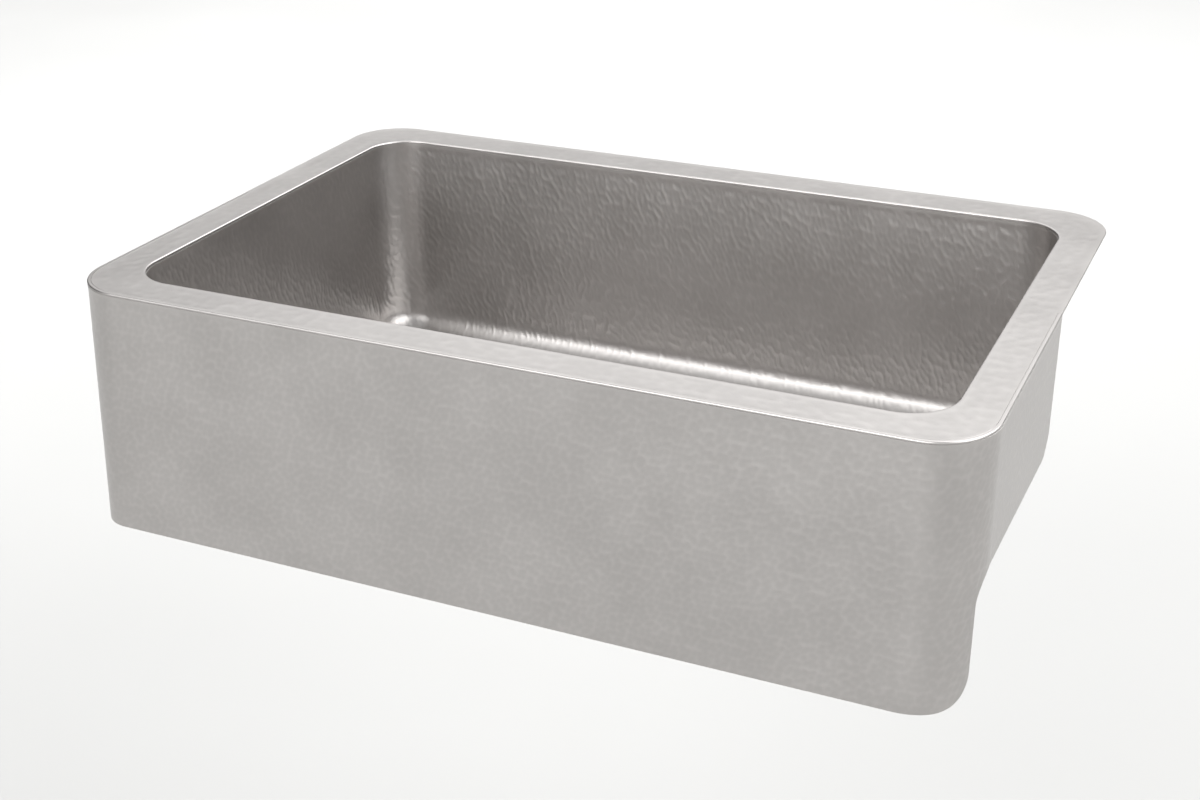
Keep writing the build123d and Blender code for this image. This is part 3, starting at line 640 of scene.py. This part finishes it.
def turnedRings(tree, place, spacing):
    # lathe marks: noise along the distance from the waste's axis and along Z, in rings spacing metres apart
    parts = addNode(tree, "ShaderNodeSeparateXYZ", {"Vector": place}).outputs
    level = addNode(tree, "ShaderNodeCombineXYZ", {"X": parts["X"], "Y": parts["Y"]})
    radius = addNode(tree, "ShaderNodeVectorMath", {"Vector": level.outputs["Vector"]}, operation="LENGTH")
    around = addNode(tree, "ShaderNodeCombineXYZ", {"X": radius.outputs["Value"], "Y": parts["Z"]})
    rings = addNode(tree, "ShaderNodeTexNoise", {"Vector": around.outputs["Vector"]},
                    Scale=1 / spacing, Detail=2.0)
    return rings.outputs["Fac"]


spunValues = {"colours": ("#D2D1CF", "#D8D7D5"), "roughness": (0.14, 0.20), "cloud": 0.020,
              "metallic": 1.0, "ring": 0.0005, "ringDepth": 0.00001, "ringStrength": 0.5}
brassValues = {"colours": ("#B8924E", "#CDA862"), "roughness": (0.22, 0.34), "cloud": 0.012,
               "metallic": 1.0, "ring": 0.0006, "ringDepth": 0.00002, "ringStrength": 0.7}


def turnedFinish(name, v):
    # metal shaped on a lathe, with faint rings round the waste's axis
    material, tree, shader, place = newFinish(name, v)
    addRelief(tree, shader, turnedRings(tree, place, v["ring"]), v["ringDepth"], v["ringStrength"])
    return material


rubberValues = {"colours": ("#1A1A1B", "#262627"), "roughness": (0.48, 0.62), "cloud": 0.010,
                "metallic": 0.0, "grain": 0.0008, "grainDepth": 0.00005, "grainStrength": 0.6}
fibreValues = {"colours": ("#6A3A29", "#83503A"), "roughness": (0.55, 0.70), "cloud": 0.006,
               "metallic": 0.0, "grain": 0.0006, "grainDepth": 0.00005, "grainStrength": 0.6}
zincValues = {"colours": ("#AEB0B2", "#BBBCBC"), "roughness": (0.36, 0.48), "cloud": 0.015,
              "metallic": 1.0, "grain": 0.0009, "grainDepth": 0.00008, "grainStrength": 0.6}
polytheneValues = {"colours": ("#E6E5DF", "#F0EFEA"), "roughness": (0.32, 0.42), "cloud": 0.010,
                   "metallic": 0.0, "grain": 0.0010, "grainDepth": 0.00003, "grainStrength": 0.6}


def grainedFinish(name, v):
    # an even grain over the clouds, for a moulded, pressed or cast surface
    material, tree, shader, place = newFinish(name, v)
    grain = addNode(tree, "ShaderNodeTexNoise", {"Vector": place}, Scale=1 / v["grain"], Detail=3.0)
    addRelief(tree, shader, grain.outputs["Fac"], v["grainDepth"], v["grainStrength"])
    return material


finishes = {
    "hammered_steel": hammeredStainless(hammeredValues),
    "folded_steel": rolledStainless(foldedValues),
    "damping_pad": bitumenPad(padValues),
    "strainer_steel": turnedFinish("spunStainless", spunValues),          # 304 spun and polished, bright
    "black_rubber": grainedFinish("mouldedRubber", rubberValues),         # matt moulded skin, a little bloom
    "fibre_washer": grainedFinish("vulcanisedFibre", fibreValues),        # pressed paper, dry and reddish
    "cast_nut": grainedFinish("diecastZinc", zincValues),                 # tumbled casting, soft grey sheen
    "white_washer": grainedFinish("mouldedPolythene", polytheneValues),   # waxy white moulding
    "brass_nut": turnedFinish("turnedBrass", brassValues),                # brass dulled by hands
}
for piece in (rimDeck, bowlFloor, *apronSheets, *bowlWalls):
    piece.data.materials.append(finishes["hammered_steel"])
for part in frame["record"]["subparts"]:
    nodes[part["node"]].material_slots[0].material = finishes[part["material_slot"]]
print("finishes made:", len(finishes))


# Camera: the photograph's angle, found from the straight edges of the sink
cameraValues = {
    "lens": 52.187, "sensor": 36.0,
    "right": (0.91263, 0.40874, -0.00634),
    "up": (-0.1688, 0.39092, 0.90481),
    "back": (0.37231, -0.82469, 0.42576),
    "place": (0.62505, -1.41354, 0.57088),
}
cameraData = bpy.data.cameras.new("camera")
cameraData.lens = cameraValues["lens"]
cameraData.sensor_width = cameraValues["sensor"]
camera = bpy.data.objects.new("camera", cameraData)
turned = Matrix((cameraValues["right"], cameraValues["up"], cameraValues["back"])).transposed().to_4x4()
camera.matrix_world = Matrix.Translation(cameraValues["place"]) @ turned
bpy.context.scene.collection.objects.link(camera)
bpy.context.scene.camera = camera

# Studio: pale paper, with the rim at a worktop's height above it, under soft lights far away and one
# lamp that keeps the paper behind the sink white
studioValues = {
    "floorZ": -0.90, "floorHalf": 30.0,
    "paper": {"colours": ("#B7B7B6", "#B9B9B8"), "roughness": (0.85, 0.95), "cloud": 0.8, "metallic": 0.0},
    # bearing from +X towards +Y, height above the horizon and half its width, in degrees; then its strength
    "lights": ((-90, 12, 36, 5.6), (-105, 25, 36, 3.6), (-130, 45, 42, 1.7), (105, 60, 42, 1.1),
               (-15, 25, 42, 5.5), (0, 90, 45, 0.9), (50, 45, 40, 5.0)),
    "lamp": {"place": (-1.3, 3.0, 1.9), "size": 4.5, "power": 98.0},
}


def makeFloor(v):
    # one square of paper, level, v["floorHalf"] metres each way
    half = v["floorHalf"]
    corners = [(x, y, v["floorZ"]) for x, y in ((-half, -half), (half, -half), (half, half), (-half, half))]
    mesh = bpy.data.meshes.new("studioFloor")
    mesh.from_pydata(corners, [], [(0, 1, 2, 3)])
    mesh.materials.append(newFinish("studioPaper", v["paper"])[0])
    floor = bpy.data.objects.new("studioFloor", mesh)
    bpy.context.scene.collection.objects.link(floor)


def makeSky(v):
    # each light's brightness is its strength times 3t^2 - 2t^3, where t runs evenly from 1 at its middle to
    # 0 at its edge; the lights add up
    world = bpy.data.worlds.new("studioSky")
    world.use_nodes = True
    bpy.context.scene.world = world
    tree = world.node_tree
    direction = addNode(tree, "ShaderNodeTexCoord").outputs["Generated"]
    glows = []
    for *angles, strength in v["lights"]:
        bearing, height, halfWidth = np.radians(angles)
        facing = addNode(tree, "ShaderNodeVectorMath", {0: direction}, operation="DOT_PRODUCT")
        facing.inputs[1].default_value = (np.cos(height) * np.cos(bearing),
                                          np.cos(height) * np.sin(bearing), np.sin(height))
        angle = addNode(tree, "ShaderNodeMath", {0: facing.outputs["Value"]}, operation="ARCCOSINE")
        glow = addNode(tree, "ShaderNodeMapRange", {"Value": angle.outputs["Value"]},
                       interpolation_type="SMOOTHSTEP", From_Min=halfWidth, From_Max=0.0, To_Max=strength)
        glows.append(glow.outputs["Result"])
    total = glows[0]
    for glow in glows[1:]:
        total = addNode(tree, "ShaderNodeMath", {0: total, 1: glow}).outputs["Value"]
    background = tree.nodes["Background"]
    background.inputs["Color"].default_value = (1, 1, 1, 1)
    tree.links.new(total, background.inputs["Strength"])


def makeLamp(v):
    # a square lamp facing straight down over the paper that the camera sees behind the sink
    data = bpy.data.lights.new("backLamp", "AREA")
    data.shape, data.size, data.energy = "SQUARE", v["size"], v["power"]
    lamp = bpy.data.objects.new("backLamp", data)
    lamp.location = v["place"]
    lamp.visible_camera = False
    bpy.context.scene.collection.objects.link(lamp)


makeFloor(studioValues)
makeSky(studioValues)
makeLamp(studioValues["lamp"])
bpy.context.scene.view_settings.view_transform = "Standard"
print("studio made")
